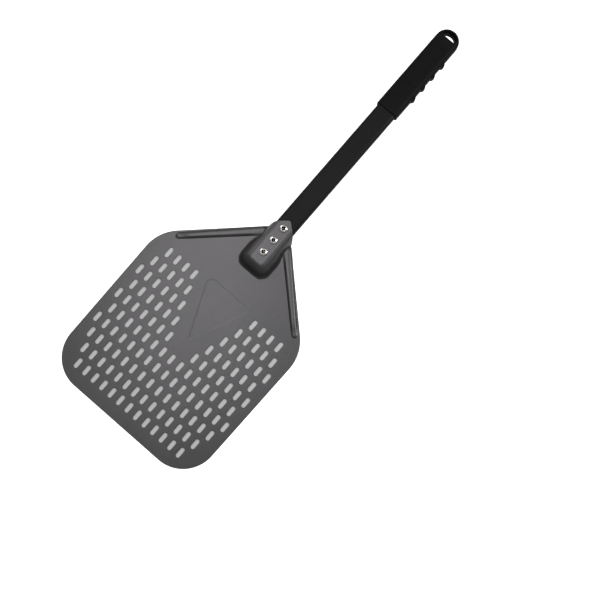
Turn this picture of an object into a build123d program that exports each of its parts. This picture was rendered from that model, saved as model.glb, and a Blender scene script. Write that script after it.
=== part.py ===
from build123d import *
import math
import os

# Pizza peel: a perforated, stamped aluminium blade screwed to a flat-oval tube with a moulded grip.
# Each piece is drawn with Y counted from the blade's front edge, X across it and Z up from its underside.
# The whole peel is then moved so that the origin is at the middle of its bounding box, on the surface
# that it rests on. Millimetres throughout.

# Whole peel
OVERALL_LENGTH = 692.0
BLADE_WIDTH = 254.0

# Blade outline, seen from above
SHEET = 1.5
FRONT_WIDTH = 247.0
FRONT_CORNER_RADIUS = 50.0
SHOULDER_Y = 227.0
SHOULDER_ANGLE = 44.2
SHOULDER_RADIUS = 58.0
NECK_HALF, NECK_Y, NECK_RADIUS = 20.4, 329.4, 10.0
CHEEK_HALF, CHEEK_Y, CHEEK_RADIUS = 17.0, 336.0, 4.0
TONGUE_HALF, TONGUE_Y, TONGUE_RADIUS = 12.6, 341.0, 3.0
TIP_Y, TIP_RADIUS = 351.5, 3.0

# Perforation: obround slots along Y, in rows staggered by half a pitch
SLOT_LENGTH, SLOT_WIDTH = 15.0, 6.0
SLOT_PITCH, ROW_PITCH = 15.0, 21.0
FIRST_ROW_Y = 25.5
ROWS = 10
WIDEST_COLUMN = 15
FRONT_ROW_COLUMN, BACK_ROW_COLUMN = 12, 13
FIRST_OPEN_ROW, OPEN_ROW_OFFSET = 5, 2

# Coined triangular panel in the plain area in front of the handle
PANEL_DEPTH = 0.4
PANEL_HALF, PANEL_BACK_Y, PANEL_APEX_Y = 37.2, 227.0, 141.7
PANEL_BACK_RADIUS, PANEL_APEX_RADIUS = 8.0, 3.0

# Stiffening ribs pressed along the shoulders
RIB_WIDTH, RIB_HEIGHT = 9.0, 2.4
RIB_INSET = 7.6
RIB_START, RIB_END = 26.5, 136.0

# Handle: the tube rises from the blade at a small angle
HANDLE_ANGLE = 2.5
TUBE_START_Y = 284.0
TUBE_WIDTH, TUBE_HEIGHT, TUBE_RADIUS, TUBE_WALL = 29.6, 15.0, 4.6, 1.5
TUBE_CLEARANCE_BELOW = 0.4
TUBE_LENGTH = 382.0

# Screws and the blind rivet nuts that they run into, M5
SCREW_FIRST, SCREW_PITCH = 12.9, 20.45
SCREW_RADIUS, SCREW_LENGTH = 2.5, 12.0
HEAD_RADIUS, HEAD_HEIGHT = 5.2, 3.4
RECESS_SPAN, RECESS_WIDTH, RECESS_DEPTH = 5.4, 1.1, 1.8
CLEARANCE_HOLE_RADIUS = 2.75
NUT_BODY_RADIUS, NUT_BULGE_RADIUS, NUT_LENGTH = 3.5, 4.6, 12.5
NUT_FLANGE_RADIUS, NUT_FLANGE = 4.8, 0.8
NUT_BULGE_LENGTH = 3.0

# Pocket that the sheet forms over the tube, outside surface
POCKET_FRONT_Y, POCKET_BACK_Y = 266.0, 360.0
POCKET_WIDE, POCKET_NARROW = 24.0, 19.4
POCKET_WAIST_START, POCKET_WAIST_END = 300.0, 311.0
FOOT_FRONT_HALF, FOOT_CORNER_Y = 16.5, 275.0
EAVE_FRONT_HALF, EAVE_FRONT_Y, EAVE_CORNER_Y = 12.0, 275.0, 280.5
ROOF_FRONT_HALF, ROOF_FRONT_Y, ROOF_CORNER_Y = 9.5, 278.3, 281.5
ROOF_HALF = TONGUE_HALF
SIDE_CLEARANCE = 0.3
WALL_HALF = TUBE_WIDTH / 2 + SIDE_CLEARANCE + SHEET
EAVE_DROP = 4.0
FOOT_SPREAD = 0.55

# Grip
GRIP_LENGTH, GRIP_WIDTH, GRIP_HEIGHT, GRIP_RADIUS = 142.0, 34.0, 20.0, 6.0
GRIP_CLEARANCE = 0.1
STOP_COUNT, STOP_PITCH, STOP_FIRST = 4, 20.3, 31.3
STOP_LENGTH, STOP_HEIGHT, STOP_THICKNESS = 9.5, 2.7, 9.0
STOP_ROOT = 3.0
HANG_RADIUS, HANG_FLAT_OFFSET, HANG_CORNER_RADIUS = 11.5, 4.3, 1.5
HANG_WEB, HANG_BEVEL = 10.0, 2.0

# Plug in the tube's front end
PLUG_LENGTH, PLUG_LIP, PLUG_CLEARANCE = 6.5, 1.2, 0.1

SINE = math.sin(math.radians(HANDLE_ANGLE))
COSINE = math.cos(math.radians(HANDLE_ANGLE))
TUBE_AXIS_Z = TUBE_CLEARANCE_BELOW + TUBE_HEIGHT / 2
HANDLE = Plane(origin=(0, TUBE_START_Y, TUBE_AXIS_Z), x_dir=(1, 0, 0), z_dir=(0, -SINE, COSINE))
END_OVERHANG = (GRIP_HEIGHT / 2 - GRIP_RADIUS) * SINE
GRIP_START = (OVERALL_LENGTH - END_OVERHANG - TUBE_START_Y) / COSINE - GRIP_LENGTH
SCREW_STATIONS = {
    "front": SCREW_FIRST,
    "middle": SCREW_FIRST + SCREW_PITCH,
    "rear": SCREW_FIRST + 2 * SCREW_PITCH,
}


def roof_height(y):
    """Height of the pocket's outer roof above the underside of the blade, at distance y from the front."""
    stack = TUBE_HEIGHT / 2 + NUT_FLANGE + SHEET
    return TUBE_AXIS_Z + stack / COSINE + (y - TUBE_START_Y) * SINE / COSINE


def mirrored(points):
    """A closed outline from the points of its +X half, listed from the front to the back."""
    return points + [(-x, y) for x, y in reversed(points) if x]


def blade_outline():
    """The blade seen from above, tongue included."""
    shoulder_half = BLADE_WIDTH / 2 + 0.45
    half = [
        (FRONT_WIDTH / 2, 0.0),
        (shoulder_half, SHOULDER_Y),
        (NECK_HALF, NECK_Y),
        (CHEEK_HALF, CHEEK_Y),
        (TONGUE_HALF, TONGUE_Y),
        (0.0, TIP_Y),
    ]
    radii = [
        FRONT_CORNER_RADIUS,
        SHOULDER_RADIUS,
        NECK_RADIUS,
        CHEEK_RADIUS,
        TONGUE_RADIUS,
        TIP_RADIUS,
    ]
    outline = make_face(Polyline(*mirrored(half), close=True))
    for (x, y), radius in zip(half, radii):
        corners = [v for v in outline.vertices() if abs(abs(v.X) - x) < 0.01 and abs(v.Y - y) < 0.01]
        outline = fillet(corners, radius)
    return outline


def slot_places():
    """Centres of the slots. A column counts in half pitches, and each row uses every second column."""
    places = []
    for row in range(ROWS):
        rows_behind = ROWS - 1 - row
        outer = min(WIDEST_COLUMN, FRONT_ROW_COLUMN + row, BACK_ROW_COLUMN + 2 * rows_behind)
        inner = row - OPEN_ROW_OFFSET if row >= FIRST_OPEN_ROW else 0
        for column in range(-outer, outer + 1):
            if (column - row) % 2 == 0 and abs(column) >= inner:
                places.append((column * SLOT_PITCH / 2, FIRST_ROW_Y + row * ROW_PITCH))
    return places


def slots():
    """All perforations as one tool for cutting."""
    slot = SlotOverall(SLOT_LENGTH, SLOT_WIDTH, rotation=90)
    return extrude(Sketch() + [Pos(x, y) * slot for x, y in slot_places()], SHEET, both=True)


def panel():
    """Shallow triangle with rounded corners, its apex towards the front."""
    corners = [(0, PANEL_APEX_Y), (PANEL_HALF, PANEL_BACK_Y), (-PANEL_HALF, PANEL_BACK_Y)]
    triangle = make_face(Polyline(*corners, close=True))
    triangle = fillet(triangle.vertices().sort_by(Axis.Y)[1:], PANEL_BACK_RADIUS)
    triangle = fillet(triangle.vertices().sort_by(Axis.Y)[:1], PANEL_APEX_RADIUS)
    return Pos(0, 0, SHEET - PANEL_DEPTH) * extrude(triangle, SHEET)


def rib(side, radius_change):
    """Round-topped bead along one shoulder; a negative radius change gives the groove under it."""
    radius = (RIB_WIDTH**2 / 4 + RIB_HEIGHT**2) / (2 * RIB_HEIGHT)
    centre_z = SHEET + RIB_HEIGHT - radius
    angle = math.radians(SHOULDER_ANGLE)
    inward = Vector(-math.sin(angle), -math.cos(angle), 0) * RIB_INSET
    along = Vector(-math.cos(angle), math.sin(angle), 0)
    corner = Vector(BLADE_WIDTH / 2, SHOULDER_Y, centre_z)
    start, end = (corner + inward + along * reach for reach in (RIB_START, RIB_END))
    start, end = (Vector(point.X * side, point.Y, point.Z) for point in (start, end))
    size = radius + radius_change
    bar = Plane(origin=start, z_dir=end - start) * Cylinder(
        size, (end - start).length, align=(Align.CENTER, Align.CENTER, Align.MIN)
    )
    return bar + Pos(*start) * Sphere(size) + Pos(*end) * Sphere(size)


def pocket(inset):
    """Body of the pocket: a foot, an eave where the walls turn into the roof, and the sloping roof.

    With no inset it is the outside; with an inset of one sheet it is the hollow underneath.
    """
    drop = inset / COSINE
    foot_z = -SHEET if inset else SHEET / 2
    foot_inset = inset * FOOT_SPREAD
    foot = [
        (FOOT_FRONT_HALF - foot_inset, POCKET_FRONT_Y + foot_inset),
        (POCKET_WIDE - foot_inset, FOOT_CORNER_Y + foot_inset),
        (POCKET_WIDE - foot_inset, POCKET_WAIST_START),
        (POCKET_NARROW - foot_inset, POCKET_WAIST_END),
        (POCKET_NARROW - foot_inset, POCKET_BACK_Y),
    ]
    eave = [
        (EAVE_FRONT_HALF - inset, EAVE_FRONT_Y + inset),
        (WALL_HALF - inset, EAVE_CORNER_Y + inset),
        (WALL_HALF - inset, POCKET_WAIST_START),
        (WALL_HALF - inset, POCKET_WAIST_END),
        (WALL_HALF - inset, POCKET_BACK_Y),
    ]
    roof = [
        (ROOF_FRONT_HALF, ROOF_FRONT_Y + inset),
        (ROOF_HALF, ROOF_CORNER_Y + inset),
        (ROOF_HALF, POCKET_WAIST_START),
        (ROOF_HALF, POCKET_WAIST_END),
        (ROOF_HALF, POCKET_BACK_Y),
    ]
    levels = [
        [(x, y, foot_z) for x, y in mirrored(foot)],
        [(x, y, roof_height(y) - EAVE_DROP - drop) for x, y in mirrored(eave)],
        [(x, y, roof_height(y) - drop) for x, y in mirrored(roof)],
    ]
    return Solid.make_loft([Wire.make_polygon(points, close=True) for points in levels], ruled=True)


def blade():
    """The whole stamped sheet, with its pocket, ribs, panel, slots and screw holes."""
    outline = blade_outline()
    flange_end = NECK_Y + 12
    flat = extrude(outline, SHEET) & Pos(0, flange_end / 2, 0) * Box(400, flange_end, 4 * SHEET)
    raised = pocket(0) & extrude(outline, 60)
    body = flat + raised + rib(1, 0) + rib(-1, 0)
    below = Pos(0, OVERALL_LENGTH / 2, -50) * Box(400, OVERALL_LENGTH, 100)
    hollow = pocket(SHEET) + rib(1, -SHEET) + rib(-1, -SHEET)
    holes = [HANDLE * Pos(0, at, 0) * Cylinder(CLEARANCE_HOLE_RADIUS, 60) for at in SCREW_STATIONS.values()]
    return body - below - hollow - slots() - panel() - holes


def tube_profile(change):
    """Section of the tube's outside, grown by the change."""
    return RectangleRounded(TUBE_WIDTH + 2 * change, TUBE_HEIGHT + 2 * change, TUBE_RADIUS + change)


def along_handle(sketch, start, length):
    """A section extruded along the handle, from a distance behind the tube's front end."""
    plane = Plane(origin=(0, start, 0), x_dir=(1, 0, 0), z_dir=(0, 1, 0))
    return extrude(plane * sketch, length)


def handle_tube():
    """Flat-oval tube with three holes for the rivet nuts in its top wall."""
    body = along_handle(tube_profile(0), 0, TUBE_LENGTH)
    bore = along_handle(tube_profile(-TUBE_WALL), -1, TUBE_LENGTH + 2)
    holes = [
        Pos(0, at, TUBE_HEIGHT / 2) * Cylinder(NUT_BODY_RADIUS, 4 * TUBE_WALL)
        for at in SCREW_STATIONS.values()
    ]
    return body - bore - holes


def tube_plug():
    """Plastic plug pressed into the tube's front end, with a lip over the cut edge."""
    stem = along_handle(tube_profile(-TUBE_WALL - PLUG_CLEARANCE), 0, PLUG_LENGTH)
    hollow = along_handle(tube_profile(-2 * TUBE_WALL - PLUG_CLEARANCE), PLUG_LIP, PLUG_LENGTH)
    lip = along_handle(tube_profile(-TUBE_WALL / 3), -PLUG_LIP, PLUG_LIP)
    return stem - hollow + lip


def rivet_nut(at):
    """Blind rivet nut: a flange on the tube, the body in its hole, and the upset bulge inside."""
    top = TUBE_HEIGHT / 2
    flange = Pos(0, at, top) * Cylinder(
        NUT_FLANGE_RADIUS, NUT_FLANGE, align=(Align.CENTER, Align.CENTER, Align.MIN)
    )
    body = Pos(0, at, top) * Cylinder(
        NUT_BODY_RADIUS, NUT_LENGTH, align=(Align.CENTER, Align.CENTER, Align.MAX)
    )
    bulge = Pos(0, at, top - TUBE_WALL) * Cylinder(
        NUT_BULGE_RADIUS, NUT_BULGE_LENGTH, align=(Align.CENTER, Align.CENTER, Align.MAX)
    )
    bulge = chamfer(bulge.edges().group_by(Axis.Z)[0], 1.0)
    return flange + body + bulge - Pos(0, at, top) * Cylinder(SCREW_RADIUS, 40)


def screw(at):
    """Pan-head machine screw with a cross recess, its head on the sheet above the rivet nut."""
    seat = TUBE_HEIGHT / 2 + NUT_FLANGE + SHEET
    head = Pos(0, at, seat) * Cylinder(
        HEAD_RADIUS, HEAD_HEIGHT, align=(Align.CENTER, Align.CENTER, Align.MIN)
    )
    head = fillet(head.edges().group_by(Axis.Z)[-1], HEAD_HEIGHT * 0.72)
    shank = Pos(0, at, seat) * Cylinder(
        SCREW_RADIUS, SCREW_LENGTH, align=(Align.CENTER, Align.CENTER, Align.MAX)
    )
    recess_z = seat + HEAD_HEIGHT
    cross = Box(RECESS_SPAN, RECESS_WIDTH, 2 * RECESS_DEPTH) + Box(RECESS_WIDTH, RECESS_SPAN, 2 * RECESS_DEPTH)
    return head + shank - Pos(0, at, recess_z) * cross


def finger_stop(at):
    """Asymmetric bump on the grip's +X side: steep towards the blade, a ramp towards the end."""
    edge = GRIP_WIDTH / 2
    peak = (edge + STOP_HEIGHT, at + STOP_LENGTH * 0.35)
    nose = (edge + STOP_HEIGHT * 0.65, at + STOP_LENGTH * 0.09)
    back = (edge, at + STOP_LENGTH)
    outline = Line((edge - STOP_ROOT, at), (edge, at))
    outline += ThreePointArc((edge, at), nose, peak)
    outline += Line(peak, back)
    outline += Line(back, (edge - STOP_ROOT, at + STOP_LENGTH))
    outline += Line((edge - STOP_ROOT, at + STOP_LENGTH), (edge - STOP_ROOT, at))
    return extrude(make_face(outline), STOP_THICKNESS / 2, both=True)


def hang_slot():
    """Opening near the grip's end: a segment of a circle about the round end's centre, flat towards the blade.

    It goes straight through a web in the middle, and flares from there to both faces.
    """
    centre_y = GRIP_START + GRIP_LENGTH - GRIP_WIDTH / 2
    flat_y = centre_y + HANG_FLAT_OFFSET
    half = math.sqrt(HANG_RADIUS**2 - HANG_FLAT_OFFSET**2)
    left, right, crown = (-half, flat_y), (half, flat_y), (0, centre_y + HANG_RADIUS)
    segment = make_face(Line(left, right) + ThreePointArc(right, crown, left))
    segment = fillet(segment.vertices(), HANG_CORNER_RADIUS)
    cut = extrude(segment, GRIP_HEIGHT, both=True)
    for side in (1, -1):
        wide = Pos(0, 0, side * GRIP_HEIGHT / 2) * offset(segment, HANG_BEVEL)
        narrow = Pos(0, 0, side * HANG_WEB / 2) * segment
        cut += loft([wide, narrow])
    return cut


def grip():
    """Moulded sleeve with a round end, four finger stops and a hang slot."""
    straight = GRIP_LENGTH - GRIP_WIDTH / 2
    plan = Pos(0, GRIP_START + straight / 2) * Rectangle(GRIP_WIDTH, straight)
    plan += Pos(0, GRIP_START + straight) * Circle(GRIP_WIDTH / 2)
    body = extrude(plan, GRIP_HEIGHT / 2, both=True)
    top_and_bottom = body.edges().group_by(Axis.Z)
    mouth = [e for e in body.edges() if abs(e.center().Y - GRIP_START) < 0.01]
    rims = [e for e in top_and_bottom[0] + top_and_bottom[-1] if e not in mouth]
    body = fillet(rims, GRIP_RADIUS)
    for number in range(STOP_COUNT):
        body += finger_stop(GRIP_START + STOP_FIRST + number * STOP_PITCH)
    bore = along_handle(tube_profile(GRIP_CLEARANCE), GRIP_START - 1, TUBE_LENGTH - GRIP_START + 1 + GRIP_CLEARANCE)
    return body - bore - hang_slot()


def pieces():
    """Every piece by name, in the drawing frame."""
    parts = {"blade": blade()}
    parts["handle_tube"] = HANDLE * handle_tube()
    parts["tube_plug"] = HANDLE * tube_plug()
    parts["grip"] = HANDLE * grip()
    for place, at in SCREW_STATIONS.items():
        parts["screw_" + place] = HANDLE * screw(at)
        parts["rivet_nut_" + place] = HANDLE * rivet_nut(at)
    return parts


def main():
    """Moves the origin to the middle of the bounding box, on the resting surface, and writes the pieces."""
    os.makedirs("parts", exist_ok=True)
    parts = pieces()
    boxes = [part.bounding_box() for part in parts.values()]
    front, back = min(b.min.Y for b in boxes), max(b.max.Y for b in boxes)
    bottom = min(b.min.Z for b in boxes)
    centred = Pos(0, -(front + back) / 2, -bottom)
    print("from front to back", front, back, "bottom", bottom)
    for name, part in parts.items():
        placed = centred * part
        placed.label = name
        print(name, "solids", len(placed.solids()), placed.bounding_box())
        export_step(placed, f"parts/{name}.step")


main()
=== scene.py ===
# %% [markdown]
# # A pizza peel, piece by piece
#
# The peel is a perforated, stamped aluminium blade. Three screws hold it to a flat-oval tube that ends in a
# moulded grip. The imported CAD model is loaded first. It fixes every size and place, and each new mesh below
# is a finer version of one of its nodes.

# %% Load the fixed frame
import math

import bmesh
import bpy
import numpy as np
from mathutils import Euler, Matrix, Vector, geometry


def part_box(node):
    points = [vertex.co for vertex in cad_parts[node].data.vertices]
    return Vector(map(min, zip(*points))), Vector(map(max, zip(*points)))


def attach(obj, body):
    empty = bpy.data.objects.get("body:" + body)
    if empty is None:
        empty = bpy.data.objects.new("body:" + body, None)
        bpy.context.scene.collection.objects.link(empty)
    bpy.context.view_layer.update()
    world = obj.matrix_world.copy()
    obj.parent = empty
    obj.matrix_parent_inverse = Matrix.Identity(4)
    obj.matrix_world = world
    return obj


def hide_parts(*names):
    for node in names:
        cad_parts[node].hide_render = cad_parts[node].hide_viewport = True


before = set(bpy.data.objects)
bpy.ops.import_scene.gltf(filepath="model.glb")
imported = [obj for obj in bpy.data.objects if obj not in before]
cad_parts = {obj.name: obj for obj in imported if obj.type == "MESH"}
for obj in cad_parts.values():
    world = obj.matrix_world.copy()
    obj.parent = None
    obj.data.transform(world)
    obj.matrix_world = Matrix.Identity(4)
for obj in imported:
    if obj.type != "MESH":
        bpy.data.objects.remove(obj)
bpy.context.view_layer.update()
print("CAD nodes:", sorted(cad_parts))

# %% [markdown]
# ## The drawing frame
#
# A maker measures a blade from its front edge, in millimetres, so the shapes below do the same. Only the last
# step turns millimetres into metres and moves the drawing's zero to the blade's front edge in the CAD frame.
# The handle has a frame of its own: Y runs along the tube from its front end, and it climbs at a small angle.

# %% Driving dimensions, in millimetres
MM = 0.001
FRONT_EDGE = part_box("blade")[0].y / MM
SHEET = 1.5
EDGE = 0.35
HANDLE_ANGLE = math.radians(2.5)
TUBE_START, TUBE_LENGTH = 284.0, 382.0
TUBE_WIDTH, TUBE_HEIGHT, TUBE_RADIUS, TUBE_WALL = 29.6, 15.0, 4.6, 1.5
TUBE_AXIS = 7.9
NUT_FLANGE = 0.8
SCREW_PLACES = {"front": 12.9, "middle": 33.35, "rear": 53.8}
GRIP_LENGTH, GRIP_WIDTH, GRIP_HEIGHT, GRIP_RADIUS = 142.0, 34.0, 20.0, 6.0


def stacked(*parts):
    """Points from their coordinates, which are numbers or arrays."""
    return np.stack(np.broadcast_arrays(*parts), -1)


def handle_to_drawing(points):
    """Points of the handle's frame, turned about X by its angle and moved to the tube's start."""
    x, y, z = np.moveaxis(np.asarray(points, float), -1, 0)
    c, s = math.cos(HANDLE_ANGLE), math.sin(HANDLE_ANGLE)
    return stacked(x, TUBE_START + y * c - z * s, TUBE_AXIS + y * s + z * c)


def drawing_to_row(points):
    """Millimetres from the blade's front edge to metres in the CAD frame."""
    return (np.asarray(points, float) + [0, FRONT_EDGE, 0]) * MM


tube_box = np.array(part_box("handle_tube")) / MM
tube_end = drawing_to_row(handle_to_drawing([0, TUBE_LENGTH, TUBE_HEIGHT / 2])) / MM
print("tube's upper end, here and in the CAD:", tube_end.round(2), tube_box[1].round(2))

# %% [markdown]
# ## Paths with round corners
#
# Sheet metal and moulded parts have hardly any sharp corners in plan. A path is given by its corners and a
# radius for each. Every corner becomes an arc that touches both of its sides, and the straight runs are
# divided evenly so that the triangles beside them stay well shaped.


# %% Path helpers
def rounded_path(corners, radii, step, arc_step):
    """A closed path: the corners joined by straight runs and arcs.

    A corner that turns by an angle has tangent points at radius * tan(angle / 2) from it, and its arc is
    swept about the point that is one radius from both sides.
    """
    corners = np.asarray(corners, float)
    count = len(corners)
    pieces = []
    for i, (corner, radius) in enumerate(zip(corners, radii)):
        before, after = corners[i - 1] - corner, corners[(i + 1) % count] - corner
        before, after = before / np.linalg.norm(before), after / np.linalg.norm(after)
        turn = math.pi - math.acos(np.clip(before @ after, -1, 1))
        reach = radius * math.tan(turn / 2)
        bisector = (before + after) / np.linalg.norm(before + after)
        centre = corner + bisector * math.hypot(radius, reach)
        start, end = corner + before * reach - centre, corner + after * reach - centre
        steps = max(2, math.ceil(turn / arc_step))
        share = np.linspace(0, 1, steps + 1)[:, None]
        arc = (np.sin((1 - share) * turn) * start + np.sin(share * turn) * end) / math.sin(turn)
        pieces.append(centre + arc)
    rough = np.concatenate([*pieces, pieces[0][:1]])
    gaps = np.linalg.norm(np.diff(rough, axis=0), axis=1)
    parts = [
        a + (b - a) * np.linspace(0, 1, max(1, math.ceil(gap / step)), endpoint=False)[:, None]
        for a, b, gap in zip(rough[:-1], rough[1:], gaps)
        if gap > 1e-9
    ]
    return np.concatenate(parts)


def outset(loop, distance):
    """A closed, anticlockwise loop moved outwards: each point goes along the mean normal of its two sides."""
    along = np.roll(loop, -1, axis=0) - loop
    along = along / np.linalg.norm(along, axis=1, keepdims=True)
    normal = stacked(along[:, 1], -along[:, 0])
    mean = normal + np.roll(normal, 1, axis=0)
    scale = 1 + np.sum(normal * np.roll(normal, 1, axis=0), axis=1, keepdims=True)
    return loop + distance * mean / scale


def inside(points, loop):
    """True inside the loop, where a line going right from a point crosses the loop an odd number of times."""
    x, y = points[:, :1], points[:, 1:]
    (x0, y0), (x1, y1) = loop.T, np.roll(loop, -1, axis=0).T
    rise = np.where(y1 == y0, 1e-12, y1 - y0)
    crosses = ((y0 > y) != (y1 > y)) & (x < (x1 - x0) * (y - y0) / rise + x0)
    return crosses.sum(1) % 2 == 1


def unit_arc(first, last, count):
    """Points of the unit circle from one angle to another."""
    angle = np.linspace(first, last, count)
    return stacked(np.cos(angle), np.sin(angle))


def distance_to(points, start, end):
    """Shortest distance from each point to any of the straight pieces that run from start to end."""
    along = end - start
    share = ((points[:, None] - start) * along).sum(-1) / (along**2).sum(-1)
    nearest = start + np.clip(share, 0, 1)[..., None] * along
    return np.linalg.norm(points[:, None] - nearest, axis=-1).min(1)


def loop_distance(points, loop):
    """Shortest distance from each point to a closed loop."""
    return distance_to(points, loop, np.roll(loop, -1, axis=0))


def ease(share):
    """0 below 0, 1 above 1, and a smooth step between them: 3t^2 - 2t^3."""
    share = np.clip(share, 0, 1)
    return share * share * (3 - 2 * share)


# %% [markdown]
# ## Triangles that follow an outline
#
# A flat sheet with 129 slots can't be one regular grid, because the grid's edges would cut across the slots.
# A constrained Delaunay triangulation takes every outline as it is and fills the sheet between them. Extra
# free points are needed only where the sheet is bent.


# %% Triangulation and welding
WELD = 0.004


def triangulate(outer, holes=(), free=None, chains=()):
    """Points and triangles of the area inside the outer loop and outside the holes, bent along the chains.

    The triangulation works in single precision, so the loops are rounded to it for the tests of what is
    inside, and the exact points are put back at the end.
    """
    exact = [outer, *holes]
    outer, *holes = [np.asarray(loop, np.float32).astype(float) for loop in exact]
    loops = [outer, *holes]
    starts = np.cumsum([0] + [len(loop) for loop in loops])
    edges = [stacked(np.arange(a, b), np.roll(np.arange(a, b), -1)) for a, b in zip(starts[:-1], starts[1:])]
    groups, total = list(loops), starts[-1]
    for chain in chains:
        edges.append(stacked(np.arange(len(chain) - 1), np.arange(1, len(chain))) + total)
        groups.append(chain)
        total += len(chain)
    if free is not None:
        groups.append(free)
    given = np.concatenate(groups)
    found = geometry.delaunay_2d_cdt(given.tolist(), np.concatenate(edges).tolist(), [], 0, 1e-5)
    points = np.array([tuple(p) for p in found[0]], float)
    triangles = np.array(found[2], int)
    middles = points[triangles].mean(1)
    source = np.array([ids[0] if ids else -1 for ids in found[3]])
    exact = np.concatenate(exact + groups[len(exact) :])
    keep = inside(middles, outer)
    for hole in holes:
        near = np.linalg.norm(middles - hole.mean(0), axis=1) < np.ptp(hole, axis=0).max()
        keep[near] &= ~inside(middles[near], hole)
    triangles = triangles[keep]
    a, b, c = (points[triangles[:, k]] for k in range(3))
    area = (b - a)[:, 0] * (c - a)[:, 1] - (b - a)[:, 1] * (c - a)[:, 0]
    triangles[area < 0] = triangles[area < 0][:, ::-1]
    return np.where(source[:, None] >= 0, exact[source], points), triangles


def grid_faces(rows, columns, wrap=False):
    """Two triangles for each cell of a grid of points, stored row by row.

    A wrapped grid joins its last column to the first.
    """
    r, c = np.meshgrid(np.arange(rows - 1), np.arange(columns if wrap else columns - 1), indexing="ij")
    a, b = r * columns + c, r * columns + (c + 1) % columns
    d, e = a + columns, b + columns
    return np.stack([a, b, e, a, e, d]).reshape(2, 3, -1).transpose(0, 2, 1).reshape(-1, 3)


def grid_patch(grid, wrap=False):
    """A grid of points as a patch: its points in one list, and the faces of its cells."""
    return grid.reshape(-1, 3), grid_faces(*grid.shape[:2], wrap)


def read_mesh(mesh):
    """Points and triangles of a mesh as arrays."""
    places = np.zeros(len(mesh.vertices) * 3, np.float32)
    mesh.vertices.foreach_get("co", places)
    corners = np.zeros(len(mesh.loops), np.int32)
    mesh.loops.foreach_get("vertex_index", corners)
    return places.reshape(-1, 3).astype(float), corners.reshape(-1, 3).astype(int)


def join(*patches):
    """Several (points, faces) patches as one mesh. Points closer than WELD become one."""
    offsets = np.cumsum([0] + [len(points) for points, _ in patches])
    points = np.concatenate([points for points, _ in patches])
    faces = np.concatenate([faces + offset for (_, faces), offset in zip(patches, offsets)])
    mesh = bpy.data.meshes.new("patches")
    mesh.from_pydata(points, [], faces.tolist())
    work = bmesh.new()
    work.from_mesh(mesh)
    bmesh.ops.remove_doubles(work, verts=work.verts, dist=WELD)
    work.to_mesh(mesh)
    work.free()
    welded = read_mesh(mesh)
    bpy.data.meshes.remove(mesh)
    return welded


def face_normals(points, faces):
    """Cross product of two sides of each triangle: its normal times twice its area."""
    a, b, c = (points[faces[:, k]] for k in range(3))
    return np.cross(b - a, c - a)


def point_normals(points, faces):
    """Mean of the face normals round each point, weighted by the faces' areas, so that flats stay flat."""
    normal = face_normals(points, faces)
    total = stacked(*[np.bincount(faces.ravel(), np.repeat(part, 3), len(points)) for part in normal.T])
    return total / np.maximum(np.linalg.norm(total, axis=1, keepdims=True), 1e-12)


# %% [markdown]
# ## Sheet metal
#
# A stamped part is one sheet of the same thickness everywhere. So only its middle surface is shaped. The two
# faces lie half a thickness to each side of it, along its normals, and every cut edge gets a rim with two
# small round corners, as blanking and tumbling leave it. Where the middle surface stops one edge radius short
# of the real cut, the rim brings the edge out to its true size.


# %% A sheet from its middle surface
CORNER_STEPS = 3


def sheet_metal(points, faces, thickness):
    """Closed mesh of a sheet about a middle surface, and how near each of its points is to a cut edge.

    The rim is a profile carried along every open edge: a quarter circle out from the top face, a short wall,
    and a quarter circle back to the lower face.
    """
    normal = point_normals(points, faces)
    count, half = len(points), thickness / 2
    sides = np.concatenate([faces[:, [0, 1]], faces[:, [1, 2]], faces[:, [2, 0]]])
    key = sides.min(1) * count + sides.max(1)
    _, index, uses = np.unique(key, return_index=True, return_counts=True)
    rim = sides[index[uses == 1]]
    along = points[rim[:, 1]] - points[rim[:, 0]]
    away = np.cross(along / np.linalg.norm(along, axis=1, keepdims=True), normal[rim].mean(1))
    outward = np.zeros_like(points)
    np.add.at(outward, rim[:, 0], away)
    np.add.at(outward, rim[:, 1], away)
    on_rim = np.unique(rim)
    outward = outward[on_rim]
    outward = outward / (outward**2).sum(1, keepdims=True) * 2
    place = np.zeros(count, int)
    place[on_rim] = np.arange(len(on_rim))
    angle = np.linspace(0, math.pi / 2, CORNER_STEPS + 1)[1:]
    reach = np.concatenate([np.sin(angle), np.sin(angle)[::-1]]) * EDGE
    height = half - EDGE * (1 - np.cos(angle))
    height = np.concatenate([height, -height[::-1]])
    ring = points[on_rim] + outward * reach[:, None, None] + normal[on_rim] * height[:, None, None]
    first_ring = 2 * count
    rings = [on_rim]
    rings += [first_ring + k * len(on_rim) + np.arange(len(on_rim)) for k in range(len(reach))]
    rings.append(count + on_rim)
    strips = []
    for upper, lower in zip(rings[:-1], rings[1:]):
        a, b = upper[place[rim[:, 0]]], upper[place[rim[:, 1]]]
        c, d = lower[place[rim[:, 0]]], lower[place[rim[:, 1]]]
        strips += [stacked(a, c, d), stacked(a, d, b)]
    all_points = np.concatenate([points + normal * half, points - normal * half, ring.reshape(-1, 3)])
    all_faces = np.concatenate([faces, faces[:, ::-1] + count, *strips])
    wear_and_shade = np.concatenate([np.zeros(2 * count), np.repeat(np.sin(math.pi / 2 * reach / EDGE), len(on_rim))])
    return all_points, all_faces, wear_and_shade


# %% [markdown]
# ## From arrays to a piece
#
# Each finished mesh is put into Blender by one function. It turns all faces outwards, and stores normals that
# keep wide flats flat beside small round edges. It also hides the CAD node that the new piece stands for.


# %% Make one piece of the object
def put(name, data):
    """A new object in the scene."""
    item = bpy.data.objects.new(name, data)
    bpy.context.scene.collection.objects.link(item)
    return item


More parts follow.
